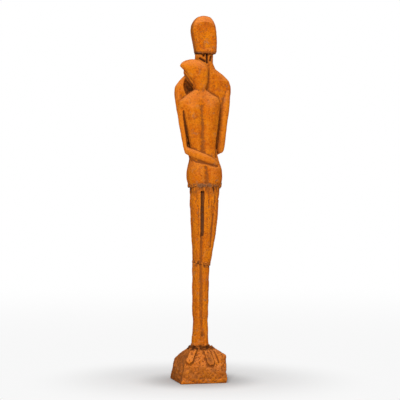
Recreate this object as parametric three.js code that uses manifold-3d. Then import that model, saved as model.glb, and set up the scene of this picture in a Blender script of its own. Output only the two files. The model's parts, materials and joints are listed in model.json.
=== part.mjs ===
// An embracing couple in cast iron on a rough-hewn block: two very tall, slim figures, the woman
// with her back to the front (-Y) and the man behind her, facing the front over her head.
// The work is five castings set one on the other: the block with the feet, the lower legs,
// the thighs, the two embracing bodies with the woman's head, and the man's head.
// Millimetres, +Z up, +X to the right, +Y away; the origin is the centre of the block's underside.

import * as THREE from "three";
import { ConvexGeometry } from "three/addons/geometries/ConvexGeometry.js";
import { mergeVertices } from "three/addons/utils/BufferGeometryUtils.js";
import Module from "manifold-3d";

// ---- driving dimensions ----
const TOTAL_HEIGHT = 1197;
const BLOCK_SIDE = 150;
const SEAM_GAP = 0.3; // the castings meet face to face with this much air
const ANKLE_SEAM = 113; // heights where one casting ends and the next begins
const KNEE_SEAM = 383;
const KNEE_SEAM_SLOPE = -0.19; // the knee seam drops towards +X
const HIP_SEAM = 636;
const HIP_SEAM_SLOPE = 0.03; // the hip seam climbs a little towards +X
const NECK_SEAM = 1071;

const wasm = await Module();
wasm.setup();

// ---- helpers: from three.js geometry to solids and back ----

// A closed geometry as a solid that can be joined and cut.
function solidOf(geometry) {
  const bare = geometry.index ? geometry.toNonIndexed() : geometry.clone();
  for (const name of Object.keys(bare.attributes)) {
    if (name !== "position") bare.deleteAttribute(name);
  }
  const merged = mergeVertices(bare, 1e-4);
  const corners = merged.index.array;
  const triVerts = [];
  for (let i = 0; i < corners.length; i += 3) {
    const [a, b, c] = corners.subarray(i, i + 3);
    if (a !== b && b !== c && c !== a) triVerts.push(a, b, c);
  }
  return new wasm.Manifold(
    new wasm.Mesh({
      numProp: 3,
      vertProperties: new Float32Array(merged.attributes.position.array),
      triVerts: new Uint32Array(triVerts),
    }),
  );
}

function joined(solids) {
  return solids.reduce((whole, solid) => whole.add(solid));
}

function meshOf(name, solid, material) {
  const { numVert, numProp, vertProperties, triVerts } = solid.getMesh();
  const positions = new Float32Array(numVert * 3);
  for (let i = 0; i < numVert; i++) {
    positions.set(vertProperties.subarray(i * numProp, i * numProp + 3), i * 3);
  }
  const geometry = new THREE.BufferGeometry();
  geometry.setAttribute("position", new THREE.BufferAttribute(positions, 3));
  geometry.setIndex(new THREE.BufferAttribute(new Uint32Array(triVerts), 1));
  geometry.computeVertexNormals();
  const mesh = new THREE.Mesh(geometry, material);
  mesh.name = name;
  return mesh;
}

// The half-space under (side -1) or over (side +1) a plane that slopes along X, as a large box.
function slab(height, slope, side) {
  const size = 2 * TOTAL_HEIGHT;
  const box = new THREE.BoxGeometry(size, size, size);
  box.translate(0, 0, (side * (size - SEAM_GAP)) / 2);
  box.rotateY(-Math.atan(slope));
  box.translate(0, 0, height);
  return solidOf(box);
}

// ---- helpers: bodies that flow through a few stations ----

// Stations give a body's section at a height z: centre x, y, half width w, half depth d,
// squareness n (2 is an ellipse) and the rise of the section along X. A cubic joins them.
function flow(stations) {
  const heights = stations.map((s) => s.z);
  const values = stations.flatMap((s) => [s.x, s.y, s.w, s.d, s.n ?? 2.4, s.rise ?? 0]);
  const track = new THREE.CubicInterpolant(heights, values, 6);
  return (z) => {
    const [x, y, w, d, n, rise] = track.evaluate(z);
    return { x, y, w, d, n, rise };
  };
}

const bell = (offset, width) => Math.exp(-((offset / width) ** 2));
const fade = THREE.MathUtils.smoothstep;

// A closed body from a unit cylinder: each ring of it is set to the section at its height,
// then pushed in or out by the carving marks.
function body({ stations, sides, rings, marks = [], crowding = 0 }) {
  const section = flow(stations);
  const low = stations[0].z;
  const high = stations[stations.length - 1].z;
  const geometry = new THREE.CylinderGeometry(1, 1, 1, sides, rings);
  geometry.rotateX(Math.PI / 2);
  const position = geometry.attributes.position;
  for (let i = 0; i < position.count; i++) {
    const t = position.getZ(i) + 0.5;
    const spread = THREE.MathUtils.lerp(t, Math.sin((t * Math.PI) / 2), crowding);
    const z = THREE.MathUtils.lerp(low, high, spread);
    const s = section(z);
    const [cx, cy] = [position.getX(i), position.getY(i)];
    const reach = Math.hypot(cx, cy);
    let x = s.x;
    let y = s.y;
    if (reach > 0.5) {
      x += Math.sign(cx) * Math.abs(cx) ** (2 / s.n) * s.w;
      y += Math.sign(cy) * Math.abs(cy) ** (2 / s.n) * s.d;
    }
    for (const mark of marks) {
      if (mark.face === "front") y += mark.depth(x, z) * fade(-cy, 0.05, 0.5);
      if (mark.face === "back") y -= mark.depth(x, z) * fade(cy, 0.05, 0.5);
      if (mark.face === "left") x += mark.depth(y, z) * fade(-cx, 0.05, 0.5);
      if (mark.face === "right") x -= mark.depth(y, z) * fade(cx, 0.05, 0.5);
    }
    position.setXYZ(i, x, y, z + s.rise * (x - s.x));
  }
  return solidOf(geometry);
}

// A groove that runs up a face from height `from` to height `to`, at `place` at its two ends.
function groove(face, from, to, place, wide, deep) {
  const line = (z) => THREE.MathUtils.mapLinear(z, from, to, place[0], place[1]);
  const depth = (side, z) => {
    const ends = fade(z, from - 2 * wide, from + wide) * (1 - fade(z, to - wide, to + 2 * wide));
    const share = THREE.MathUtils.clamp((z - from) / (to - from), 0, 1);
    return THREE.MathUtils.lerp(deep[0], deep[1], share) * ends * bell(side - line(z), wide);
  };
  return { face, depth };
}

// A soft swelling of a face around one point.
function swelling(face, place, height, wide, tall, high) {
  return { face, depth: (side, z) => -high * bell(side - place, wide) * bell(z - height, tall) };
}

// A tapering limb with round ends along a smooth path: half width w lies sideways, half
// thickness d lies along `outward`.
function limb({ path, sizes, outward, sides = 14, steps = 14 }) {
  const curve = new THREE.CatmullRomCurve3(path.map((p) => new THREE.Vector3(...p)));
  const stops = sizes.map((_, i) => i / (sizes.length - 1));
  const track = new THREE.CubicInterpolant(stops, sizes.flat(), 2);
  const geometry = new THREE.CapsuleGeometry(1, 1, 3, sides, steps);
  const position = geometry.attributes.position;
  const spot = new THREE.Vector3();
  for (let i = 0; i < position.count; i++) {
    const along = position.getY(i) + 0.5;
    const t = THREE.MathUtils.clamp(along, 0, 1);
    const [w, d] = track.evaluate(t);
    const forward = curve.getTangent(t);
    const lift = new THREE.Vector3(...outward(t)).projectOnPlane(forward).normalize();
    const across = new THREE.Vector3().crossVectors(forward, lift);
    spot.copy(curve.getPoint(t));
    spot.addScaledVector(forward, (along - t) * Math.min(w, d));
    spot.addScaledVector(across, position.getX(i) * w);
    spot.addScaledVector(lift, position.getZ(i) * d);
    position.setXYZ(i, spot.x, spot.y, spot.z);
  }
  return solidOf(geometry);
}

// ---- the block with its four feet ----

// A foot hewn as a flat plank from heel to toe, with the toe's corners cut off: half width
// `wide`, half thickness `thick`.
function plank(heel, toe, wide, thick) {
  const start = new THREE.Vector3(...heel);
  const end = new THREE.Vector3(...toe);
  const forward = end.clone().sub(start).normalize();
  const lift = new THREE.Vector3(0, Math.sign(end.y), 1).projectOnPlane(forward).normalize();
  const across = new THREE.Vector3().crossVectors(forward, lift);
  const outline = [
    { along: 0, share: 0.75 },
    { along: 0.85, share: 1 },
    { along: 1, share: 0.6 },
  ];
  const corners = outline.flatMap(({ along, share }) =>
    [-1, 1].flatMap((side) =>
      [-1, 1].map((face) =>
        start
          .clone()
          .lerp(end, along)
          .addScaledVector(across, side * share * wide)
          .addScaledVector(lift, face * thick),
      ),
    ),
  );
  return solidOf(new ConvexGeometry(corners));
}

function blockWithFeet() {
  const half = BLOCK_SIDE / 2;
  const points = [];
  const put = (x, y, z) => points.push(new THREE.Vector3(x, y, z));
  // underside, a little out of square
  put(-half, -half, 0);
  put(half + 2, -half + 1, 0);
  put(half + 8, -5, 0);
  put(half, half, 0);
  put(-half - 4, half + 1, 0);
  // the low lip along the front and the left wall
  put(-half + 13, -half + 1, 14);
  put(-half + 7, -half + 7, 24);
  put(half + 3, -half + 1, 11);
  put(-half - 2, 4, 37);
  put(-half - 3, half - 17, 19);
  // where the walls turn over into the slopes, broken off at a different height each
  put(-half + 10, half, 67);
  put(half - 9, half - 5, 74);
  put(half + 9.5, -half + 42, 85);
  put(half - 11, -half + 31, 84);
  put(half - 15, -half + 7, 42);
  put(half - 23, -half + 17, 58);
  put(-half + 35, -half + 11, 52);
  put(-half + 20, -half + 26, 76);
  // the collar that carries the ankles
  const collar = 33;
  for (let i = 0; i < 10; i++) {
    const angle = (i / 10) * 2 * Math.PI;
    put(5 + collar * Math.cos(angle), collar * 0.95 * Math.sin(angle), ANKLE_SEAM + 2);
  }
  const block = solidOf(new ConvexGeometry(points));
  const feet = [
    plank([-20, -29, 108], [-48, -60, 64], 12, 7),
    plank([16, -29, 108], [30, -63, 55], 12, 7),
    plank([-13, 34, 109], [-28, 64, 80], 12, 7),
    plank([23, 34, 109], [38, 64, 80], 12, 7),
  ];
  return joined([block, ...feet]).subtract(slab(ANKLE_SEAM, 0, 1));
}

// ---- the lower legs: four shins grown together ----

const shinStations = [
  { z: 100, x: 5, y: 0, w: 30, d: 29 },
  { z: 120, x: 5, y: 0, w: 28.5, d: 27 },
  { z: 139, x: 5, y: 0, w: 24.7, d: 25 },
  { z: 159, x: 6.3, y: 0, w: 25.7, d: 25 },
  { z: 192, x: 6.5, y: 0, w: 23.2, d: 24 },
  { z: 231, x: 6, y: 0, w: 25.2, d: 25 },
  { z: 330, x: 7.2, y: 0, w: 26.2, d: 27 },
  { z: 375, x: 8, y: 0, w: 27.2, d: 28 },
  { z: 400, x: 9, y: 0, w: 28, d: 29 },
].map((s) => ({ ...s, n: 2.8 }));

function lowerLegs() {
  const legs = body({
    stations: shinStations,
    sides: 36,
    rings: 12,
    marks: [
      groove("front", 130, 400, [4, 3], 3.5, [3, 5]),
      groove("back", 130, 400, [8, 8], 4, [3, 5]),
      groove("left", 130, 400, [0, 0], 4, [2, 3]),
      groove("right", 130, 400, [0, 0], 4, [2, 3]),
    ],
  });
  return legs.subtract(slab(ANKLE_SEAM, 0, -1)).subtract(slab(KNEE_SEAM, KNEE_SEAM_SLOPE, 1));
}

// ---- the thighs: hers in front, his behind ----

const thighStations = [
  { z: 365, x: 9, y: 0, w: 27.5, d: 28 },
  { z: 388, x: 10.5, y: 0, w: 28.6, d: 30 },
  { z: 402, x: 11.7, y: 0, w: 30.5, d: 32 },
  { z: 428, x: 13.7, y: 0, w: 32.5, d: 34 },
  { z: 480, x: 16.5, y: 0, w: 38.7, d: 38 },
  { z: 533, x: 18.7, y: 0, w: 43, d: 41 },
  { z: 585, x: 19, y: 0, w: 45.7, d: 43 },
  { z: 625, x: 20.5, y: 0, w: 46.8, d: 44 },
  { z: 660, x: 20.5, y: 0, w: 48, d: 45 },
].map((s) => ({ ...s, n: 2.8 }));

// The flat recess between her thighs; its top is a little below the hips.
const CHANNEL = { x: 4, width: 12, depth: 13, length: 156, top: HIP_SEAM - 14 };

function thighs() {
  const legs = body({
    stations: thighStations,
    sides: 40,
    rings: 12,
    marks: [
      groove("front", 390, 470, [2, 4], 5, [4, 6]),
      groove("front", 440, 600, [32, 44], 3.5, [2, 5]),
      groove("back", 390, 625, [12, 20], 6, [5, 12]),
      groove("left", 390, 640, [-2, -4], 5, [3, 6]),
      groove("right", 390, 640, [-2, -4], 5, [3, 6]),
    ],
  });
  const front = -Math.max(...thighStations.map((s) => s.d));
  const channel = new THREE.BoxGeometry(CHANNEL.width, 2 * CHANNEL.depth, CHANNEL.length);
  channel.translate(CHANNEL.x, front, CHANNEL.top - CHANNEL.length / 2);
  return legs
    .subtract(solidOf(channel))
    .subtract(slab(KNEE_SEAM, KNEE_SEAM_SLOPE, -1))
    .subtract(slab(HIP_SEAM, HIP_SEAM_SLOPE, 1));
}

// ---- the embracing bodies ----

function hips() {
  const stations = [
    { z: 620, x: 20.5, y: 0, w: 46, d: 42 },
    { z: 634, x: 20.5, y: 0, w: 49.5, d: 45 },
    { z: 645, x: 20.3, y: 0, w: 54.5, d: 48 },
    { z: 657, x: 20, y: 0, w: 57.8, d: 50 },
    { z: 671, x: 19.8, y: 0, w: 58.6, d: 50 },
    { z: 684, x: 19.6, y: 0, w: 58.3, d: 49 },
    { z: 697, x: 19.4, y: 0, w: 56, d: 48 },
    { z: 710, x: 19, y: 0, w: 52.2, d: 46 },
    { z: 723, x: 18, y: 0, w: 48.2, d: 44 },
    { z: 738, x: 17, y: 0, w: 46, d: 41 },
    { z: 760, x: 15, y: 0, w: 44, d: 38 },
  ];
  return body({
    stations,
    sides: 36,
    rings: 11,
    marks: [
      swelling("front", -4, 672, 18, 26, 4),
      swelling("front", 39, 672, 18, 26, 4),
      groove("front", 632, 692, [17, 17.5], 6, [7, 5]),
      swelling("back", -2, 674, 18, 24, 4),
      swelling("back", 40, 674, 18, 24, 4),
      groove("back", 632, 692, [19, 19], 6, [7, 5]),
      groove("left", 632, 720, [-2, -2], 5, [5, 2]),
      groove("right", 632, 720, [-2, -2], 5, [5, 2]),
    ],
  });
}

function womanTrunk() {
  const stations = [
    { z: 698, x: 15, y: -20, w: 36, d: 20 },
    { z: 735, x: 12, y: -20, w: 42.5, d: 24 },
    { z: 765, x: 10, y: -20, w: 42.5, d: 24 },
    { z: 820, x: 7.5, y: -21, w: 51, d: 26 },
    { z: 860, x: 4, y: -22, w: 59, d: 28 },
    { z: 888, x: 0, y: -22, w: 66, d: 28, rise: 0.05 },
    { z: 905, x: -3, y: -22, w: 69, d: 27, rise: 0.1 },
    { z: 918, x: -4, y: -22, w: 66, d: 25, rise: 0.1 },
    { z: 930, x: -3, y: -22, w: 53, d: 22, rise: 0.06 },
    { z: 940, x: -1, y: -22, w: 34, d: 19 },
    { z: 950, x: 0, y: -23, w: 19, d: 16 },
    { z: 968, x: 1, y: -24, w: 17, d: 15 },
  ];
  return body({
    stations,
    sides: 32,
    rings: 17,
    marks: [
      groove("front", 750, 900, [4, -1], 8, [5, 4]),
      swelling("front", -30, 880, 17, 24, 4),
      swelling("front", 29, 888, 17, 24, 4),
    ],
  });
}

function womanHead() {
  const hair = body({
    stations: [
      { z: 945, x: 0, y: -24, w: 17, d: 15 },
      { z: 955, x: 0, y: -25, w: 17, d: 16 },
      { z: 970, x: 1.5, y: -27, w: 21, d: 19 },
      { z: 994, x: -6.5, y: -28, w: 31, d: 22 },
      { z: 1016, x: -15, y: -28, w: 40, d: 23 },
      { z: 1026, x: -22.5, y: -28, w: 45.5, d: 22 },
      { z: 1035, x: -25.5, y: -27, w: 40, d: 20 },
      { z: 1042, x: -25.5, y: -26, w: 32, d: 17 },
      { z: 1048, x: -25, y: -25, w: 19, d: 12 },
      { z: 1051, x: -25, y: -25, w: 4, d: 3 },
    ],
    sides: 24,
    rings: 13,
    crowding: 0.5,
  });
  const face = body({
    stations: [
      { z: 948, x: -2, y: -13, w: 17, d: 12 },
      { z: 955, x: -4, y: -13, w: 14, d: 13 },
      { z: 971, x: -13, y: -13, w: 18, d: 14 },
      { z: 994, x: -27, y: -14, w: 22, d: 15 },
      { z: 1018, x: -30, y: -16, w: 23, d: 15 },
      { z: 1030, x: -30, y: -18, w: 12, d: 10 },
    ],
    sides: 16,
    rings: 7,
  });
  return joined([hair, face]);
}

function manTrunk() {
  const stations = [
    { z: 698, x: 17, y: 19, w: 38, d: 22 },
    { z: 740, x: 16.5, y: 19, w: 45.5, d: 25 },
    { z: 770, x: 18.5, y: 19, w: 52.5, d: 27 },
    { z: 820, x: 16.5, y: 20, w: 61, d: 30 },
    { z: 880, x: 15.5, y: 20, w: 76, d: 31 },
    { z: 926, x: 17.5, y: 20, w: 93, d: 32 },
    { z: 953, x: 18.5, y: 19, w: 95.5, d: 31 },
    { z: 966, x: 20, y: 19, w: 93.5, d: 30 },
    { z: 979, x: 22.5, y: 18, w: 88, d: 29 },
    { z: 992, x: 24, y: 17, w: 77, d: 28 },
    { z: 1005, x: 23, y: 16, w: 63, d: 27 },
    { z: 1018, x: 21.5, y: 14, w: 44.5, d: 25 },
    { z: 1030, x: 20.5, y: 12, w: 33, d: 23 },
    { z: 1042, x: 20.5, y: 11, w: 30.5, d: 22 },
    { z: 1080, x: 21.5, y: 10, w: 30.5, d: 22 },
  ];
  const trunk = body({
    stations,
    sides: 36,
    rings: 20,
    marks: [
      groove("back", 745, 985, [15, 14], 9, [6, 3]),
      swelling("back", -28, 905, 22, 30, 4),
      swelling("back", 56, 905, 22, 30, 4),
      groove("front", 1030, 1080, [25, 25], 3, [3, 6]),
      groove("front", 1040, 1080, [12, 14], 3, [2, 5]),
    ],
  });
  const hollow = new THREE.SphereGeometry(1, 18, 12);
  hollow.scale(19, 30, 36);
  hollow.rotateY(-0.2);
  hollow.translate(-33, -16, 962);
  return trunk.subtract(solidOf(hollow));
}

function arms() {
  const womanUpperArm = limb({
    path: [
      [-59, -23, 893],
      [-63, -21, 870],
      [-55, -19, 818],
      [-48, -22, 772],
      [-46, -26, 758],
    ],
    sizes: [
      [14, 13],
      [11.5, 12],
      [10.5, 12],
      [9, 11],
      [9, 10],
    ],
    outward: () => [-0.3, -1, 0],
    sides: 12,
    steps: 8,
  });
  const womanForearm = limb({
    path: [
      [-44, -31, 752],
      [-24, -45, 742],
      [8, -49, 730],
      [34, -47, 720],
      [51, -41, 712],
    ],
    sizes: [
      [12, 10],
      [13, 9],
      [12.5, 8.5],
      [10, 8],
      [6, 6],
    ],
    outward: (t) => [-0.3 * (1 - t), -1, 0],
    sides: 12,
    steps: 8,
  });
  const manRightArm = limb({
    path: [
      [-62, 18, 955],
      [-62, 8, 905],
      [-54, 5, 861],
      [-47, 3, 810],
      [-40, -2, 765],
    ],
    sizes: [
      [15, 16],
      [13.5, 16],
      [13, 15],
      [12, 14],
      [11, 13],
    ],
    outward: () => [0, -1, 0],
    sides: 10,
    steps: 6,
  });
  const manLeftArm = limb({
    path: [
      [95, 14, 946],
      [91, 4, 900],
      [84.5, -2, 848],
      [80.5, -2, 815],
      [77, -1, 775],
      [73.5, 1, 757],
    ],
    sizes: [
      [16, 18],
      [15.5, 18],
      [13, 16],
      [12.5, 15],
      [12.5, 14],
      [12, 13],
    ],
    outward: () => [0, -1, 0],
    sides: 12,
    steps: 8,
  });
  const rearForearm = limb({
    path: [
      [72, 6, 757],
      [60, 26, 749],
      [40, 38, 741],
      [16, 43, 730],
      [-4, 43, 721],
      [-17, 39, 714],
    ],
    sizes: [
      [12, 10],
      [12.5, 9],
      [13, 9],
      [12, 8.5],
      [10, 8],
      [6, 6],
    ],
    outward: (t) => [0.3 * (1 - t), 1, 0],
    sides: 12,
    steps: 8,
  });
  return joined([womanUpperArm, womanForearm, manRightArm, manLeftArm, rearForearm]);
}

function embracingTorsos() {
  const whole = joined([hips(), womanTrunk(), manTrunk(), arms(), womanHead()]);
  return whole
    .subtract(slab(HIP_SEAM, HIP_SEAM_SLOPE, -1))
    .subtract(slab(NECK_SEAM, 0, 1));
}

// ---- the man's head: a long plain mask ----

function manHead() {
  return body({
    stations: [
      { z: 1064, x: 22.5, y: 4, w: 28, d: 24 },
      { z: 1071, x: 23.5, y: 4, w: 33, d: 28 },
      { z: 1076, x: 24, y: 4, w: 35.5, d: 30.5 },
      { z: 1084, x: 24, y: 4, w: 36.2, d: 31.5 },
      { z: 1097, x: 23, y: 4, w: 38, d: 33 },
      { z: 1123, x: 20, y: 4, w: 40.2, d: 34 },
      { z: 1150, x: 17.3, y: 4, w: 41.2, d: 34 },
      { z: 1168, x: 16.8, y: 4, w: 37.8, d: 31.5 },
      { z: 1180, x: 17.3, y: 4, w: 32, d: 26 },
      { z: 1189, x: 18, y: 4, w: 24.5, d: 20 },
      { z: 1194.5, x: 18.5, y: 4, w: 16, d: 13 },
      { z: TOTAL_HEIGHT, x: 18.5, y: 4, w: 6, d: 5 },
    ].map((s) => ({ ...s, n: 3.1 })),
    sides: 26,
    rings: 13,
    crowding: 0.6,
  }).subtract(slab(NECK_SEAM, 0, -1));
}

// ---- the whole work ----

const ironFinish = { roughness: 0.85, metalness: 0.1 };
const rust = new THREE.MeshStandardMaterial({ color: 0xbe6414, ...ironFinish });
const paleRust = new THREE.MeshStandardMaterial({ color: 0xc87020, ...ironFinish });
const brownRust = new THREE.MeshStandardMaterial({ color: 0xa5551c, ...ironFinish });

const statue = new THREE.Group();
statue.add(meshOf("block_with_feet", blockWithFeet(), brownRust));
statue.add(meshOf("lower_legs", lowerLegs(), rust));
statue.add(meshOf("thighs", thighs(), rust));
statue.add(meshOf("embracing_torsos", embracingTorsos(), paleRust));
statue.add(meshOf("man_head", manHead(), rust));

export default statue;
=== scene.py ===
# %% [markdown]
# # An embracing couple in rusted cast iron
# The statue stands 1.2 m tall: two very slim figures holding each other on a rough block.
# It was cast in five pieces and welded together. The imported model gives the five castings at
# their true size. This lesson adds what a foundry and the weather add: the sand-cast skin,
# the lumpy welds, the deep carving and the rust.

# %% Load the five castings
import itertools
import json
import math

import bpy
import numpy as np
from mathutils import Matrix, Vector

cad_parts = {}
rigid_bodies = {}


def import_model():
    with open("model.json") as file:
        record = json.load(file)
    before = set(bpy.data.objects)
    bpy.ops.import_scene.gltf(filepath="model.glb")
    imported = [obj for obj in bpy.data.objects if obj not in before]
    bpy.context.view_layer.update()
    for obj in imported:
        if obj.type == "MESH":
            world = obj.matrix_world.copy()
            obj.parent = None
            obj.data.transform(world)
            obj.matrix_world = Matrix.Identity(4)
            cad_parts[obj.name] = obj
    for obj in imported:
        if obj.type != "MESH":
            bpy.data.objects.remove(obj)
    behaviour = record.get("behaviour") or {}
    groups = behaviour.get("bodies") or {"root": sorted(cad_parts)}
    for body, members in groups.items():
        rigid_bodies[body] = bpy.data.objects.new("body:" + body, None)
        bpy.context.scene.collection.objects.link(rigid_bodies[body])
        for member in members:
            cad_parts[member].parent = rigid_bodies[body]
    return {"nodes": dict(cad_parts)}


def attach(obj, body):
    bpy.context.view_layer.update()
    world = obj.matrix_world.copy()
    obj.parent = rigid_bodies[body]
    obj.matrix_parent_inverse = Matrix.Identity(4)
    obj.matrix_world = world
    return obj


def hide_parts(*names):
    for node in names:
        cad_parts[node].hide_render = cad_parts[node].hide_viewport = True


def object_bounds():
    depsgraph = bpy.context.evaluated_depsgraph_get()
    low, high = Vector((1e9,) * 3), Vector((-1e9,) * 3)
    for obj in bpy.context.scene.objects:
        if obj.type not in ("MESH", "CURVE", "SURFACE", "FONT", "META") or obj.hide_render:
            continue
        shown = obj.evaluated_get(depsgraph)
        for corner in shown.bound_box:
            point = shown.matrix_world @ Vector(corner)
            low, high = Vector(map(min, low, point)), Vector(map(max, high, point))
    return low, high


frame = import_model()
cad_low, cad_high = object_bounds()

MM = 0.001  # the model is in metres, and the carving below is given in millimetres
HEIGHT = cad_high.z - cad_low.z
print("castings:", sorted(frame["nodes"]), "height in m:", round(HEIGHT, 3))

# %% [markdown]
# ## Camera
# The statue is seen from a little to the left of square on, with a long lens held level at
# about half its height, so upright lines stay upright. The lens could be aimed at the middle
# instead, but a small shift keeps the camera level.

# %% Camera
VIEW_TURN = math.radians(-13)  # the camera stands this far round from straight in front
VIEW_DISTANCE = 4.264
EYE_HEIGHT = 0.613
LENS = 117
SHIFT_RIGHT, SHIFT_UP = 0.0039, -0.016
place = (
    VIEW_DISTANCE * math.sin(VIEW_TURN),
    -VIEW_DISTANCE * math.cos(VIEW_TURN),
    EYE_HEIGHT,
)
bpy.ops.object.camera_add(location=place, rotation=(math.radians(90), 0, VIEW_TURN))
camera = bpy.context.active_object
camera.name = "camera"
camera.data.lens = LENS
camera.data.shift_x = SHIFT_RIGHT
camera.data.shift_y = SHIFT_UP
bpy.context.scene.camera = camera
print("camera at", [round(v, 2) for v in place])

# %% [markdown]
# ## Floor
# The statue stands on a sheet of white paper, with a painted shadow that greys it close to the
# block and fades into the white all round. A curved backdrop would do too, but a flat round
# floor needs no bend: beyond the fade it simply glows, nearly as white as the surround.

# %% Floor
FLOOR_RADIUS = 6
FLOOR_DROP = 0.0005  # the paper lies just under the block, so no two faces share a plane
LIT_ZONE = (0.10, 0.62)  # the paper stops being lit, and glows instead, between these radii
bpy.ops.mesh.primitive_circle_add(
    vertices=96, radius=FLOOR_RADIUS, fill_type="NGON", location=(0, 0, -FLOOR_DROP)
)
floor = bpy.context.active_object
floor.name = "floor"
bpy.ops.object.transform_apply(location=True, rotation=True, scale=True)

paper = bpy.data.materials.new("pale_paper_painted_shadow")
paper.use_nodes = True
nodes, links = paper.node_tree.nodes, paper.node_tree.links
shader = nodes["Principled BSDF"]
shader.inputs["Roughness"].default_value = 0.9
shader.inputs["Specular IOR Level"].default_value = 0.1
coordinates = nodes.new("ShaderNodeTexCoord")
distance = nodes.new("ShaderNodeVectorMath")
distance.operation = "LENGTH"
links.new(coordinates.outputs["Object"], distance.inputs[0])


def ring_fade(start, end, low, high):
    """A value that goes smoothly from low at radius start to high at radius end."""
    fade = nodes.new("ShaderNodeMapRange")
    fade.interpolation_type = "SMOOTHERSTEP"
    for socket, value in zip(fade.inputs[1:5], (start, end, low, high)):
        socket.default_value = value
    links.new(distance.outputs["Value"], fade.inputs[0])
    return fade.outputs[0]


# painted shadow: the paper's colour greys from 0.94 at 0.26 m down to 0.60 at 0.05 m, round the
# block
shade = nodes.new("ShaderNodeCombineColor")
for channel in shade.inputs:
    links.new(ring_fade(0.05, 0.26, 0.60, 0.94), channel)
links.new(shade.outputs["Color"], shader.inputs["Base Color"])
far_white = nodes.new("ShaderNodeEmission")
links.new(ring_fade(0.6, 5, 0.935, 1.0), far_white.inputs["Strength"])
blend = nodes.new("ShaderNodeMixShader")
links.new(ring_fade(*LIT_ZONE, 0, 1), blend.inputs["Fac"])
links.new(shader.outputs["BSDF"], blend.inputs[1])
links.new(far_white.outputs["Emission"], blend.inputs[2])
links.new(blend.outputs["Shader"], nodes["Material Output"].inputs["Surface"])
floor.data.materials.append(paper)
print("floor radius in m:", FLOOR_RADIUS)

# %% [markdown]
# ## Light
# Rust has hardly any gloss, so it is lit softly: one large lamp in front and above, a weaker
# one overhead, and a white surround. The surround looks white behind the statue but gives
# less light than it shows, or it would wash the hollows out.

# %% Surround
SURROUND = 0.28  # the light that the surround gives, while it still looks white behind
world = bpy.data.worlds.new("white_surround")
world.use_nodes = True
nodes, links = world.node_tree.nodes, world.node_tree.links
seen = nodes.new("ShaderNodeLightPath")
brightness = nodes.new("ShaderNodeMapRange")
brightness.inputs["To Min"].default_value = SURROUND
brightness.inputs["To Max"].default_value = 1.0
links.new(seen.outputs["Is Camera Ray"], brightness.inputs["Value"])
links.new(brightness.outputs["Result"], nodes["Background"].inputs["Strength"])
nodes["Background"].inputs["Color"].default_value = (1, 1, 1, 1)
bpy.context.scene.world = world
bpy.context.scene.view_settings.view_transform = "Standard"
print("light from the surround:", SURROUND)


# %% Lamps
def soft_lamp(name, place, aim, size, power):
    """A square soft lamp at place, turned towards aim."""
    turn = (Vector(aim) - Vector(place)).to_track_quat("-Z", "Y").to_euler()
    bpy.ops.object.light_add(type="AREA", location=place, rotation=turn)
    lamp = bpy.context.active_object
    lamp.name = name
    lamp.data.shape = "SQUARE"
    lamp.data.size = size
    lamp.data.energy = power


middle = (0, 0, HEIGHT / 2)
soft_lamp("front_lamp", (-0.9, -2.9, 1.9), middle, size=1.2, power=84)
soft_lamp("top_lamp", (0.0, -0.3, 3.0), middle, size=1.6, power=22)

# %% [markdown]
# ## Handling the castings
# Each casting is copied before it is worked on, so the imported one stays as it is. The copy's
# loose triangles are merged, then the voxel remesh turns them into one even skin of small
# squares. A subdivision would keep the flat facets; the remesh lets them be smoothed away.


# %% Helpers to pick, copy and even out a piece
def only(*pieces):
    """Select these pieces and nothing else; the last one is the active one."""
    bpy.ops.object.select_all(action="DESELECT")
    for piece in pieces:
        piece.select_set(True)
    bpy.context.view_layer.objects.active = pieces[-1]


def modified(piece, kind, **settings):
    """Put a modifier on the piece, with these settings, and apply it."""
    only(piece)
    modifier = piece.modifiers.new(kind.lower(), kind)
    for name, value in settings.items():
        setattr(modifier, name, value)
    bpy.ops.object.modifier_apply(modifier=modifier.name)


def casting(node, name):
    """A copy of a packed casting, merged into one skin, to be worked on."""
    only(frame["nodes"][node])
    bpy.ops.object.duplicate()
    piece = bpy.context.active_object
    piece.name = piece.data.name = name
    bpy.ops.object.parent_clear(type="CLEAR_KEEP_TRANSFORM")
    for tag in list(piece.keys()):
        del piece[tag]
    bpy.ops.object.mode_set(mode="EDIT")
    bpy.ops.mesh.select_all(action="SELECT")
    bpy.ops.mesh.remove_doubles(threshold=0.01 * MM)
    bpy.ops.object.mode_set(mode="OBJECT")
    return piece


def even_skin(piece, grain, rounds):
    """Remesh to squares of about grain millimetres, then smooth the facets away."""
    modified(piece, "REMESH", mode="VOXEL", voxel_size=grain * MM, use_smooth_shade=True)
    modified(piece, "SMOOTH", factor=0.5, iterations=rounds)


# %% [markdown]
# ## Carving tools
# A sculptor would press the marks in with a brush. Here each mark is a mask, a weight from 0
# to 1 painted on the skin by its place, and a Displace modifier pushes the painted skin in or
# out. A drawn line with a soft edge makes a groove; a soft round spot makes a lump or a pit.


# %% Masks
def step(value, start, end):
    """0 before start, 1 after end and a soft rise between them. An end under the start makes
    it 1 below and 0 above."""
    t = np.clip((value - start) / (end - start), 0, 1)
    return t * t * (3 - 2 * t)


def strongest(*masks):
    """The strongest of several masks at each point, kept from 0 to 1."""
    return np.clip(np.max(masks, axis=0), 0, 1)


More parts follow.
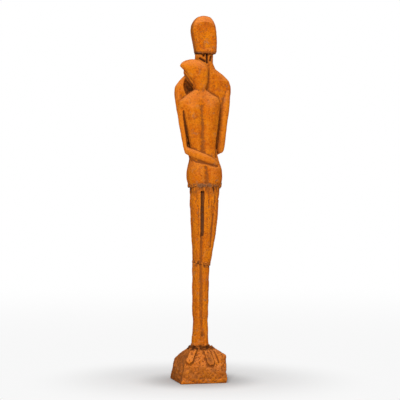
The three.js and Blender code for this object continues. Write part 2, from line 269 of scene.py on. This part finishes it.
class Skin:
    """Where each point of a piece's skin is, in millimetres, and which way it faces. Marks
    are drawn on it as seen from the front, by x and z."""

    def __init__(self, piece):
        count = len(piece.data.vertices)
        places = np.empty(count * 3)
        normals = np.empty(count * 3)
        piece.data.vertices.foreach_get("co", places)
        piece.data.vertices.foreach_get("normal", normals)
        self.x, self.y, self.z = places.reshape(-1, 3).T / MM
        self.nx, self.ny, self.nz = normals.reshape(-1, 3).T

    def spot(self, centre, wide, tall):
        """A soft round spot, about two thirds gone at its width and height."""
        return np.exp(-(((self.x - centre[0]) / wide) ** 2) - ((self.z - centre[1]) / tall) ** 2)

    def line(self, points, width, strength=1, hard=2):
        """A line drawn through points. Its width, and its strength, are one number each or
        one for each end; a higher hard gives it a flatter middle and sharper sides."""
        widths, strengths = np.broadcast_to(width, 2), np.broadcast_to(strength, 2)
        nearest = np.full(len(self.x), np.inf)
        share = np.zeros(len(self.x))
        legs = len(points) - 1
        for i in range(legs):
            (ax, az), (bx, bz) = points[i], points[i + 1]
            run = (bx - ax, bz - az)
            t = ((self.x - ax) * run[0] + (self.z - az) * run[1]) / (run[0] ** 2 + run[1] ** 2)
            t = np.clip(t, 0, 1)
            away = np.hypot(self.x - ax - t * run[0], self.z - az - t * run[1])
            closer = away < nearest
            nearest = np.where(closer, away, nearest)
            share = np.where(closer, (i + t) / legs, share)
        breadth = widths[0] + (widths[1] - widths[0]) * share
        force = strengths[0] + (strengths[1] - strengths[0]) * share
        return force * np.exp(-((nearest / breadth) ** hard))


# %% Random lumps
LATTICE = 32  # the random pattern repeats after this many steps


def ripple(skin, size, seed, stretch=1):
    """Smooth random values from -1 to 1 that change every size millimetres; stretch draws
    the pattern out along the height."""
    grid = np.random.default_rng(seed).uniform(-1, 1, (LATTICE,) * 3)
    spots = [skin.x / size, skin.y / size, skin.z / (size * stretch)]
    cells = [np.floor(v).astype(int) for v in spots]
    shares = [step(v - c, 0, 1) for v, c in zip(spots, cells)]
    total = np.zeros(len(skin.x))
    for corner in itertools.product((0, 1), repeat=3):
        weight = np.ones(len(skin.x))
        for far, share in zip(corner, shares):
            weight *= share if far else 1 - share
        place = tuple((c + far) % LATTICE for c, far in zip(cells, corner))
        total += weight * grid[place]
    return total


def lumps(skin, size, seed, stretch=1):
    """The raised half of a ripple: lumps from 0 to 1 with level ground between them."""
    return np.clip(ripple(skin, size, seed, stretch), 0, 1)


# %% Press and paint
PAINT_LEVELS = 800  # how finely a mask's weight is painted
LEAST_RELIEF = 0.01  # millimetres; anything lower isn't worth a modifier


def press(piece, relief, along="NORMAL"):
    """Push the skin in by relief millimetres, or out where the relief is negative. Along an
    axis, a positive relief goes the way of the axis."""
    way = -1 if along == "NORMAL" else 1
    for side in (1, -1):
        deepest = max((relief * side).max(), 0)
        if deepest < LEAST_RELIEF:
            continue
        levels = np.rint(np.clip(relief * side / deepest, 0, 1) * PAINT_LEVELS).astype(int)
        order = np.argsort(levels, kind="stable")
        cuts = np.searchsorted(levels[order], np.arange(1, PAINT_LEVELS + 2))
        group = piece.vertex_groups.new(name="mark")
        for level in range(1, PAINT_LEVELS + 1):
            members = order[cuts[level - 1] : cuts[level]]
            if len(members):
                group.add(members.tolist(), level / PAINT_LEVELS, "REPLACE")
        modified(
            piece,
            "DISPLACE",
            strength=way * side * deepest * MM,
            mid_level=0,
            direction=along,
            vertex_group=group.name,
        )
        piece.vertex_groups.clear()
        print(piece.name, "pushed", "in" if side > 0 else "out", round(deepest, 1), "mm")


def paint(piece, name, values):
    """Store a value for each point of the piece, for its finish to read."""
    attribute = piece.data.attributes.new(name, "FLOAT", "POINT")
    attribute.data.foreach_set("value", values.astype(np.float32))


# %% [markdown]
# ## The cast skin
# Sand moulds leave a skin with broad soft waves, smaller lumps and a fine grain, and the iron
# has flaked a little since. Three cloud patterns at falling size make that, as Displace
# modifiers, so the relief is in the mesh and not only in the finish.


# %% Cast skin
def cloud(name, size):
    """A cloud pattern whose lumps are about size millimetres."""
    texture = bpy.data.textures.new(name, "CLOUDS")
    texture.noise_scale = size * MM
    texture.noise_depth = 2
    return texture


SKIN_CLOUDS = [  # each pattern, and its height from lowest to highest in millimetres
    (cloud("broad_waves", 24), 1.6),
    (cloud("lumps", 9), 1.3),
    (cloud("grain", 3.6), 0.8),
]


def cast_skin(piece, roughness):
    """Raise and sink the skin by the cloud patterns; roughness scales their height."""
    for texture, height in SKIN_CLOUDS:
        modified(
            piece,
            "DISPLACE",
            texture=texture,
            texture_coords="LOCAL",
            strength=height * roughness * MM,
            mid_level=0.5,
        )


print("cloud patterns:", [texture.name for texture, _ in SKIN_CLOUDS])

# %% [markdown]
# ## Weld beads
# The castings were joined with short, fat dabs of weld, each a flat blob with a dished top.
# One is modelled from a low cylinder: its outer face is inset and sunk, and its rims are
# bevelled. Copies of it are then set round a seam, each turned and sized a little differently,
# and fused into the casting by the remesh.

# %% One weld bead
BEAD_DEPTH = 0.9  # this and the next three are in bead radii
BEAD_RIM = 0.45
BEAD_DISH = 0.35
BEAD_ROUNDING = 0.18


def weld_bead():
    """A dab of weld 2 units across, dished on its +Z side."""
    bpy.ops.mesh.primitive_cylinder_add(vertices=14, radius=1, depth=BEAD_DEPTH)
    bead = bpy.context.active_object
    bead.name = "weld_bead"
    bpy.ops.object.mode_set(mode="EDIT")
    bpy.ops.mesh.select_all(action="DESELECT")
    bpy.ops.object.mode_set(mode="OBJECT")
    for face in bead.data.polygons:
        face.select = face.normal.z > 0.9
    bpy.ops.object.mode_set(mode="EDIT")
    bpy.ops.mesh.inset(thickness=BEAD_RIM)
    bpy.ops.transform.translate(value=(0, 0, -BEAD_DISH))
    bpy.ops.mesh.select_all(action="SELECT")
    bpy.ops.mesh.bevel(offset=BEAD_ROUNDING, segments=2, affect="EDGES")
    bpy.ops.object.mode_set(mode="OBJECT")
    return bead


# %% A ring of beads
CLEAR_OF_CASTING = 0.3  # metres from the axis, outside every casting
SEAM_HALF_WIDTH = 45
BEAD_STRETCH = 1.3  # how much a bead is drawn out away from the casting
BEAD_TILT = 0.3  # the share of the skin's upward or downward slope that a bead follows


def set_beads(piece, height_at, count, size, seed, grain, jitter=1.5):
    """Set count beads of size millimetres round the piece, at a height for each x, and fuse
    them into its skin."""
    draw = np.random.default_rng(seed)
    model = weld_bead()
    beads = []
    axis_x = (min(c[0] for c in piece.bound_box) + max(c[0] for c in piece.bound_box)) / 2
    for i in range(count):
        turn = (i + draw.uniform(-0.3, 0.3)) / count * 2 * math.pi
        outward = Vector((math.cos(turn), math.sin(turn), 0))
        radius = size * draw.uniform(0.7, 1.3) / 2
        z = height_at(axis_x / MM + SEAM_HALF_WIDTH * outward.x) + draw.normal(0, jitter)
        start = Vector((axis_x, 0, z * MM)) + outward * CLEAR_OF_CASTING
        hit, place, normal, _ = piece.ray_cast(start, -outward)
        if not hit:
            continue
        only(model)
        bpy.ops.object.duplicate()
        bead = bpy.context.active_object
        facing = Vector((normal.x, normal.y, BEAD_TILT * normal.z)).normalized()
        bead.rotation_euler = facing.to_track_quat("Z", "Y").to_euler()
        length = radius * draw.uniform(0.7, 1.1)
        bead.scale = (radius * MM, length * MM, BEAD_STRETCH * radius * MM)
        bead.location = place
        beads.append(bead)
    only(model)
    bpy.ops.object.delete()
    only(*beads, piece)
    bpy.ops.object.join()
    even_skin(piece, grain, rounds=2)
    print(piece.name, "beads:", len(beads))


# %% [markdown]
# ## The man's head
# A long plain head without any features, whose front is one flat plane with soft rims. It
# could be a bevelled box, but the casting has the true outline already, so only its front is
# pressed back to a plane. Where it was welded to the neck it is crumbly and dark.

# %% The man's head
NECK_SEAM = 1071
FACE_PLANE = -25

head = casting("man_head", "head")
even_skin(head, grain=0.85, rounds=10)
set_beads(head, lambda x: NECK_SEAM + 2, count=16, size=6, seed=3, grain=0.85)
skin = Skin(head)
front = step(-skin.ny, 0.1, 0.5)
flatten = np.clip(FACE_PLANE - skin.y, 0, None) * step(skin.z, NECK_SEAM + 7, NECK_SEAM + 19)
crumbs = 2.5 * lumps(skin, 4, 21) * step(skin.z, NECK_SEAM + 13, NECK_SEAM + 3)
press(head, (flatten + crumbs) * front, "Y")
chin_dirt = 0.55 * step(skin.z, NECK_SEAM + 11, NECK_SEAM + 2)
# painted shade: faces that turn away from the front are painted darker
rim_shade = 0.35 * step(skin.ny, -0.55, -0.2)
paint(head, "dirt_and_shade", chin_dirt + rim_shade)
paint(head, "weld", step(skin.z, NECK_SEAM + 7, NECK_SEAM + 2) * step(skin.x, 12, -5))
cast_skin(head, 0.7)

# %% [markdown]
# ## The two bodies
# Both bodies are one casting, from the hips to the man's neck. It is welded to the thighs at
# the hips with the fattest beads of all. The carving is pressed in below, in three steps.


# %% The two bodies
def hip_seam(x):
    """The height of the weld at the hips: it climbs a little to the right."""
    return 636 + 0.03 * x


torsos = casting("embracing_torsos", "torsos")
even_skin(torsos, grain=1.68, rounds=7)
set_beads(torsos, lambda x: hip_seam(x) + 3, count=25, size=13, seed=5, grain=1.68)

# %% [markdown]
# ## The man's neck
# The neck is drawn in deep cords: a channel and three pits under the chin, a lump of weld on
# the left, and a shallow line that runs down to the shoulder beside her hair. Each is a line
# or a spot drawn on the skin, pressed straight back.

# %% The man's neck
skin = Skin(torsos)
front = step(-skin.ny, 0.05, 0.45)
neck = front * step(skin.z, 945, 960) * step(skin.y, -24, -18)
cords = (
    10 * skin.line([(26, 1073), (27, 1043)], 2.8)
    + 7 * skin.spot((15.6, 1066), 3, 4)
    + 9 * skin.line([(4, 1056), (20, 1047)], 3)
    + 8 * skin.line([(41, 1063), (38, 1051)], 3.5)
    + 1.5 * skin.line([(33, 1048), (33, 1010), (31, 985), (29, 952)], (3, 6))
    - 4 * skin.spot((-2, 1061), 8, 5)
)
press(torsos, neck * cords, "Y")
# painted shade in the cut cords, channels and pits, darker where they are cut deeper
neck_shade = neck * np.clip(cords / 7, 0, 1)

# %% [markdown]
# ## Backs and arms
# Her face is only a narrow strip under the edge of her hair. Her back has a soft spine and
# two shoulder blades that stand out a little. Deep slots part her back from his arms, and a
# shallow one runs under the forearm that crosses her waist. They are all drawn lines, with
# the depth of each as its factor.

# %% Backs and arms
HAIR_EDGE = [(-69, 1027), (-55, 1015), (-40, 993), (-27, 975), (-21, 969), (-19, 954)]
LEFT_SLOT = [(-57, 880), (-49, 836), (-42, 797), (-39, 768)]
RIGHT_GROOVE = [(71, 890), (66, 854), (60, 805), (54, 733)]
UNDER_FOREARM = [(-52, 737), (-38, 730), (-16, 717), (20, 709), (54, 701)]
SHOULDER_EDGE = [(24, 950), (43, 943), (63, 931), (71, 912), (70, 885)]
SPINE = [(-1, 895), (4, 826), (7, 750)]
LEFT_BLADE = [(-36, 890), (-26, 835)]
RIGHT_BLADE = [(38, 890), (32, 835)]
CLEFT = [(14, 698), (16, 640)]
HIP_LINE = [(-45, 722), (-43, 647)]

skin = Skin(torsos)
back = front * step(skin.y, -14, -24)  # only hers, and not his chest behind it
edge_x = np.interp(-skin.z, [-z for _, z in HAIR_EDGE], [x for x, _ in HAIR_EDGE])
strip = step(edge_x - skin.x, 0, 2) * step(skin.z, 950, 958) * step(skin.z, 1024, 1016)
strip *= step(skin.y, -6, -12) * front * (skin.x < -10)
slot = front * skin.line(LEFT_SLOT, (2.5, 6), (0.7, 1))
groove = front * skin.line(RIGHT_GROOVE, (3.5, 4.5), (0.4, 1))
under_arm = front * skin.line(UNDER_FOREARM, (4, 3))
shoulder = (front - back) * skin.line(SHOULDER_EDGE, 5)
carving = (
    5 * strip
    + 4 * back * skin.line(SPINE, (7, 10), (0.5, 1.2))
    - 2.5 * back * skin.line(LEFT_BLADE, 13)
    - 2.5 * back * skin.line(RIGHT_BLADE, 13)
    + 13 * slot
    + 8 * groove
    + 4 * under_arm
    + 4 * front * skin.line(CLEFT, (7, 12))
    + 2 * front * skin.line(HIP_LINE, 3)
    + 1 * shoulder
)
above_hips = step(skin.z, 640, 650)
press(torsos, carving * above_hips, "Y")
# painted shade in her face strip, the slots, the right groove, under the forearm and along the
# shoulder edge
carving_shade = strongest(
    0.6 * strip, slot ** 2, 0.65 * groove ** 2, 0.5 * under_arm ** 2, 0.15 * shoulder
)

# %% [markdown]
# ## The hollow beside her face
# Between her face and his shoulder lies a deep hollow, too tight to clean, so its floor is
# left as rough as it came out of the sand. It is pushed in as one soft spot, with a random
# pattern of crumbs left standing in it, and nearly all of it is painted dark, as painted shade.

# %% The hollow beside her face
skin = Skin(torsos)
inside = skin.spot((-27, 962), 19, 32) * step(skin.y, -24, -12) * (skin.z < 1008) * front
press(torsos, 9 * inside - 5 * lumps(skin, 6, 22) * inside, "Y")
# painted shade: the hollow is painted dark nearly all over
hollow_shade = step(inside + 0.25 * ripple(skin, 9, 23), 0.35, 1.0)
near_hip = step(skin.z, hip_seam(skin.x) + 13, hip_seam(skin.x) + 6)
paint(torsos, "weld", np.clip(near_hip * (0.5 + 1.3 * ripple(skin, 9, 24)), 0, 1))
# painted shade from the neck, the carving and the hollow, with dark weld near the hips
paint(torsos, "dirt_and_shade", strongest(neck_shade, carving_shade, hollow_shade, 0.3 * near_hip))
cast_skin(torsos, 0.8)

# %% [markdown]
# ## The thighs
# Four thighs are grown together into one tapering post. A dark stripe of slag runs down the
# channel between them and goes over into a reddish groove with painted shade. The skin is drawn
# into upright streaks, which a random pattern stretched along the height makes.


# %% The thighs
def knee_seam(x):
    """The height of the weld at the knees: it falls to the right."""
    return 383 - 0.19 * x


thighs = casting("thighs", "legs_above_knee")
even_skin(thighs, grain=1.15, rounds=6)
set_beads(
    thighs, lambda x: knee_seam(x) + 4, count=15, size=9, seed=7, grain=1.15, jitter=2.5
)
skin = Skin(thighs)
front = step(-skin.ny, 0.05, 0.45)
stripe = skin.line([(4, 616), (5, 560), (5, 478)], (6, 4.5), hard=6)
middle_groove = skin.line([(3, 480), (3, 430), (2, 380)], (4, 6), (1, 0.6))
carving = (
    3 * stripe
    + 4 * middle_groove
    + 4 * skin.line([(41, 545), (37, 500), (33, 440)], 3.5, (0.7, 1))
    - 2.5 * skin.line([(40, 628), (41, 575)], 5)
    - 2 * skin.line([(-5, 610), (-4, 540), (-4, 480)], 3)
    + 2 * skin.line([(-27, 625), (-24, 500), (-19, 395)], 3)
)
press(thighs, front * carving, "Y")

# %% Streaks, dirt and painted shade of the thighs
skin = Skin(thighs)
upper = 0.35 + 0.65 * step(skin.z, 500, 610)
scabs = np.clip(ripple(skin, 4, 26, stretch=1.6) - 0.3, 0, 1)
press(thighs, (1.3 * ripple(skin, 5, 25, stretch=5) + 2.2 * scabs) * upper)
near_hip = step(skin.z, 598, 632) * (0.4 + 0.9 * ripple(skin, 5, 27, stretch=3))
near_knee = step(skin.z, knee_seam(skin.x) + 16, knee_seam(skin.x) + 5)
near_knee *= 0.5 + ripple(skin, 7, 28)
# painted shade in the middle groove; the stripe of slag and the welds at hip and knee are dark
# in colour
paint(
    thighs,
    "dirt_and_shade",
    strongest(0.85 * stripe * front, 0.4 * middle_groove * front, near_hip, 0.8 * near_knee),
)
paint(thighs, "weld", np.clip(stripe * front * (0.6 + 0.5 * ripple(skin, 7, 29)), 0, 1))
cast_skin(thighs, 1.0)

# %% [markdown]
# ## The lower legs
# Below the knee the legs are one narrow post. A dark red groove with painted shade runs down its
# middle and a fine one down its left edge, and a rough patch lies over the ankle. They are
# drawn in the same way as on the thighs.

# %% The lower legs
ANKLE_SEAM = 113

shins = casting("lower_legs", "legs_below_knee")
even_skin(shins, grain=1.0, rounds=6)
set_beads(shins, lambda x: ANKLE_SEAM + 3, count=12, size=9, seed=9, grain=1.0)
skin = Skin(shins)
front = step(-skin.ny, 0.05, 0.45)
middle_groove = skin.line([(2, 390), (3, 300), (4, 170)], 5, (1, 0.4))
carving = (
    3 * middle_groove
    + 2 * skin.line([(-18, 385), (-17, 250), (-17, 150)], 2.5)
    - 3 * skin.spot((22, 152), 8, 12)
    + 2.5 * skin.spot((9, 154), 7, 9)
)
press(shins, front * carving, "Y")

# %% Streaks, dirt and painted shade of the lower legs
skin = Skin(shins)
ankle_lumps = 1.4 * ripple(skin, 9, 31) * step(skin.z, 175, 130)
press(shins, 1.0 * ripple(skin, 6, 30, stretch=4) + ankle_lumps)
near_knee = step(skin.z, knee_seam(skin.x) - 14, knee_seam(skin.x) - 2)
near_knee *= 0.45 + ripple(skin, 7, 32)
near_ankle = step(skin.z, 123, 115) * (0.7 + 0.8 * ripple(skin, 7, 33))
dark_patch = 0.6 * skin.spot((8, 154), 9, 14) * (0.7 + 0.8 * ripple(skin, 6, 34)) * front
# painted shade in the middle groove; the patch over the ankle and the welds at knee and ankle
# are dark in colour
paint(shins, "dirt_and_shade", strongest(0.5 * middle_groove * front, dark_patch, near_knee, near_ankle))
paint(shins, "weld", np.zeros(len(skin.x)))  # here the weld has rusted like the legs
cast_skin(shins, 0.9)

# %% [markdown]
# ## The block
# The block was hewn roughly in the mould, with the feet lying on its slopes. The packed
# casting gives its facets and the feet, and random patterns at three sizes make the facets
# rough. They stop just over the ground, and only the thin cast skin goes on under the block.

# %% The block
block = casting("block_with_feet", "block")
even_skin(block, grain=1.25, rounds=3)
set_beads(block, lambda x: ANKLE_SEAM - 4, count=16, size=9, seed=11, grain=1.25)
skin = Skin(block)
front = step(-skin.ny, 0.1, 0.4)
crease = 3 * skin.line([(45, 98), (55, 66)], 3)
hewn = 2.2 * ripple(skin, 17, 35) + 1.4 * ripple(skin, 8, 36) + 1.2 * lumps(skin, 4, 37)
press(block, (front * crease + hewn) * step(skin.z, 1, 5))

# %% Dirt, darker walls and painted shade of the block
left_wall = step(-skin.nx, 0.45, 0.7)
right_wall = step(skin.nx, 0.35, 0.6)
low_front = front * step(skin.z, 12, 17) * step(skin.z, 58, 50)
toe = front * skin.spot((25, 76), 11, 20)
near_ankle = step(skin.z, 100, 109) * (0.7 + 0.8 * ripple(skin, 7, 33))
# painted shadow in the crease; the walls that face left and right are painted darker; the low
# front, the toe and the weld at the ankle are darker in colour
dirt_and_shade = strongest(
    0.45 * left_wall * (0.8 + 0.5 * ripple(skin, 12, 39)),
    0.6 * right_wall,
    0.45 * (low_front * (0.6 + 0.6 * ripple(skin, 13, 38))),
    0.4 * toe,
    near_ankle,
    0.6 * (front * np.clip(crease / 3, 0, 1)),
)
paint(block, "dirt_and_shade", dirt_and_shade)
scratched = 0.6 * (left_wall + toe) + 0.5 * front * step(skin.z, 26, 18)
scratches = 0.1 + 0.9 * ripple(skin, 7, 40, stretch=0.6)
paint(block, "weld", np.clip(scratched * scratches, 0, 1))
cast_skin(block, 1.1)

# %% [markdown]
# ## Hollows and edges
# Hollows are painted darker, as painted shade, and edges paler, as painted highlight. To find
# them, the skin is smoothed in numbers many times over: where a point lies under the smoothed
# skin it is in a hollow, and where it stands proud it is on an edge. The fine grain gets the
# same in small, and faces that turn up get a painted highlight.

# %% Paint hollows and edges
REACH = 6  # hollows and edges are looked for over this many millimetres
FULL_DEPTH = 3.5  # a point this far under or over the smoothed skin is painted in full
GRAIN_ROUNDS, GRAIN_DEPTH = 12, 0.5  # the same for the grain, over a few points only


def smoothed(values, edges, rounds):
    """Each point's value averaged with its neighbours', this many times."""
    count = len(values)
    links_of = np.bincount(edges.ravel(), minlength=count)[:, None]
    for _ in range(rounds):
        total = np.stack(
            [
                np.bincount(edges[:, 0], values[edges[:, 1], axis], count)
                + np.bincount(edges[:, 1], values[edges[:, 0], axis], count)
                for axis in range(values.shape[1])
            ],
            axis=1,
        )
        values = 0.5 * values + 0.5 * total / np.maximum(links_of, 1)
    return values


def paint_hollows(piece):
    """Paint how far each point lies under and over the smoothed skin, and faces up."""
    mesh = piece.data
    edges = np.empty(len(mesh.edges) * 2, int)
    mesh.edges.foreach_get("vertices", edges)
    edges = edges.reshape(-1, 2)
    skin = Skin(piece)
    places = np.stack([skin.x, skin.y, skin.z], axis=1)
    facing = np.stack([skin.nx, skin.ny, skin.nz], axis=1)
    length = np.linalg.norm(places[edges[:, 0]] - places[edges[:, 1]], axis=1).mean()
    rounds = int(2 * (REACH / length) ** 2)
    under = ((smoothed(places, edges, rounds) - places) * facing).sum(axis=1)
    under_grain = ((smoothed(places, edges, GRAIN_ROUNDS) - places) * facing).sum(axis=1)
    # the finish reads hollow as painted shade and edge as painted highlight
    paint(piece, "hollow", np.clip(under / FULL_DEPTH, 0, 1))
    paint(piece, "edge", np.clip(-under / FULL_DEPTH, 0, 1))
    # grain: painted shade in its pits and painted highlight on its tips
    paint(piece, "grain", np.clip(0.5 - under_grain / GRAIN_DEPTH, 0, 1))
    # up: a painted highlight on faces that turn up
    paint(piece, "up", np.clip(skin.nz, 0, 1))
    print(piece.name, "deepest hollow in mm:", round(under.max(), 1))


for piece in (head, torsos, thighs, shins, block):
    paint_hollows(piece)

# %% [markdown]
# ## Rust
# Old rust on cast iron is not one orange. It runs from yellow ochre through orange to red
# brown over a hand's width, and is mottled again at the size of a fingertip and a grain.
# The finish starts from one tone and lays the others over it, each through its own pattern.
# A painted image would do the same, but patterns need no unwrapping and have no seams.

# %% Tones
TONES = {
    "orange": (0.54, 0.115, 0.002),
    "amber": (0.62, 0.165, 0.003),
    "pale": (0.68, 0.200, 0.015),
    # a painted highlight, laid on faces that turn up
    "painted_top_light": (0.80, 0.260, 0.070),
    "red": (0.40, 0.075, 0.003),
    "brown": (0.26, 0.072, 0.012),
    "dark": (0.045, 0.013, 0.004),
    "scale": (0.26, 0.150, 0.075),
    "weld": (0.17, 0.085, 0.045),
}
print("tones:", len(TONES))


# %% A finish in layers
class Finish:
    """A material built up as a stack of tones, each laid on through a pattern."""

    def __init__(self, name, ground):
        self.material = bpy.data.materials.new(name)
        self.material.use_nodes = True
        self.nodes = self.material.node_tree.nodes
        self.links = self.material.node_tree.links
        self.shader = self.nodes["Principled BSDF"]
        self.places = self.nodes.new("ShaderNodeTexCoord").outputs["Object"]
        self.tone = self.nodes.new("ShaderNodeRGB").outputs[0]
        self.tone.default_value = (*TONES[ground], 1)

    def between(self, value, low, high):
        """0 where the value is low and 1 where it is high; low may be the larger one."""
        fade = self.nodes.new("ShaderNodeMapRange")
        fade.inputs["From Min"].default_value = low
        fade.inputs["From Max"].default_value = high
        self.links.new(value, fade.inputs["Value"])
        return fade.outputs["Result"]

    def clouds(self, size, low, high, detail=4, shift=0.0, stretch=1.0):
        """A cloud pattern of lumps of size millimetres; stretch draws it out along the height
        and shift moves it, so that no two patterns are alike."""
        mapping = self.nodes.new("ShaderNodeMapping")
        mapping.inputs["Location"].default_value = (shift, shift * 0.7, shift * 0.3)
        mapping.inputs["Scale"].default_value = (1, 1, 1 / stretch)
        noise = self.nodes.new("ShaderNodeTexNoise")
        noise.inputs["Scale"].default_value = 1 / (size * MM)
        noise.inputs["Detail"].default_value = detail
        noise.inputs["Roughness"].default_value = 0.6
        self.links.new(self.places, mapping.inputs["Vector"])
        self.links.new(mapping.outputs["Vector"], noise.inputs["Vector"])
        return self.between(noise.outputs["Fac"], low, high)

    def painted(self, name, low, high):
        """A value painted on the piece."""
        attribute = self.nodes.new("ShaderNodeAttribute")
        attribute.attribute_name = name
        return self.between(attribute.outputs["Fac"], low, high)

    def recess(self, reach, low, high):
        """How open the skin is to the sky within reach millimetres."""
        open_sky = self.nodes.new("ShaderNodeAmbientOcclusion")
        open_sky.inputs["Distance"].default_value = reach * MM
        open_sky.samples = 8
        return self.between(open_sky.outputs["AO"], low, high)

    def lay(self, tone, pattern, amount=1.0):
        """Lay a tone over what is there, where the pattern is; amount thins it."""
        thinned = self.nodes.new("ShaderNodeMath")
        thinned.operation = "MULTIPLY"
        thinned.inputs[1].default_value = amount
        mix = self.nodes.new("ShaderNodeMix")
        mix.data_type = "RGBA"
        self.links.new(pattern, thinned.inputs[0])
        self.links.new(thinned.outputs[0], mix.inputs["Factor"])
        self.links.new(self.tone, mix.inputs[6])
        mix.inputs[7].default_value = (*TONES[tone], 1)
        self.tone = mix.outputs[2]

    def close(self, grain, relief):
        """Join the tones, the roughness and the fine relief to the shader."""
        self.links.new(self.tone, self.shader.inputs["Base Color"])
        rough = self.nodes.new("ShaderNodeMapRange")
        rough.inputs["To Min"].default_value = 0.72
        rough.inputs["To Max"].default_value = 0.95
        self.links.new(grain, rough.inputs["Value"])
        self.links.new(rough.outputs["Result"], self.shader.inputs["Roughness"])
        self.shader.inputs["Specular IOR Level"].default_value = 0.03
        bump = self.nodes.new("ShaderNodeBump")
        bump.inputs["Strength"].default_value = relief
        bump.inputs["Distance"].default_value = 1.2 * MM
        self.links.new(grain, bump.inputs["Height"])
        self.links.new(bump.outputs["Normal"], self.shader.inputs["Normal"])
        return self.material


# %% Four rusts
def rust(name, browning, stretch):
    """Weathered rust, with painted shade and painted highlight; browning from 0 to 1 darkens it,
    stretch draws it out along the height.
    """
    finish = Finish(name, "orange")
    clouds, painted, recess = finish.clouds, finish.painted, finish.recess
    finish.lay("amber", clouds(30, 0.45, 0.62, stretch=stretch))
    finish.lay("red", clouds(36, 0.50, 0.68, shift=3, stretch=stretch))
    finish.lay("amber", clouds(8, 0.50, 0.66, shift=5, stretch=stretch), 0.7)
    finish.lay("brown", clouds(7, 0.50, 0.70, shift=7), 0.5 + browning)
    finish.lay("scale", clouds(18, 0.58, 0.72, shift=9), 0.6)
    # painted highlight on faces that turn up
    finish.lay("painted_top_light", painted("up", 0.05, 0.6), 0.55)
    # painted highlight on the grain's tips and painted shade in its pits
    finish.lay("pale", painted("grain", 0.6, 1.0), 0.5)
    finish.lay("brown", painted("grain", 0.45, 0.0), 0.9)
    finish.lay("dark", clouds(3.2, 0.55, 0.70, shift=11), 0.65)
    # painted highlight on edges
    finish.lay("pale", painted("edge", 0.2, 0.9), 0.6)
    # painted shade in the recesses, found by ambient occlusion, and in the hollows
    finish.lay("brown", recess(30, 0.8, 0.3), 0.5)
    finish.lay("brown", painted("hollow", 0.15, 0.7), 0.8)
    # dirt, dark welds and painted shade, as painted on each piece
    finish.lay("brown", painted("dirt_and_shade", 0.05, 0.6))
    finish.lay("weld", painted("weld", 0.1, 0.8), 0.75)
    # painted shade, deepest in the hollows
    finish.lay("dark", painted("hollow", 0.6, 1.0), 0.5)
    finish.lay("dark", painted("dirt_and_shade", 0.55, 1.0), 0.85)
    # painted shade in the tightest recesses
    finish.lay("dark", recess(18, 0.4, 0.05), 0.8)
    grain = clouds(3, 0.25, 0.75, detail=6, shift=13)
    return finish.close(grain, relief=0.8)


figure_rust = rust("figure_rust", browning=0.0, stretch=1.3)
head_rust = rust("head_rust", browning=0.45, stretch=1.0)
leg_rust = rust("leg_rust", browning=0.25, stretch=2.5)
block_rust = rust("block_rust", browning=0.3, stretch=1.0)
print("finishes:", [f.name for f in (figure_rust, head_rust, leg_rust, block_rust)])

# %% [markdown]
# ## Dress the statue
# Each carved piece gets its rust, takes the place of its packed casting and is tied to the one
# rigid body. The legs' rust is drawn out along their height, as rain runs down them.

# %% Dress
for piece, node, slot, finish in [
    (head, "man_head", "figure_rust", head_rust),
    (torsos, "embracing_torsos", "figure_rust", figure_rust),
    (thighs, "thighs", "figure_rust", leg_rust),
    (shins, "lower_legs", "figure_rust", leg_rust),
    (block, "block_with_feet", "block_rust", block_rust),
]:
    piece.data.materials.clear()
    piece.data.materials.append(finish)
    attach(piece, "root")
    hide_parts(node)
    triangles = sum(len(face.vertices) - 2 for face in piece.data.polygons)
    print(piece.name, "triangles:", triangles)
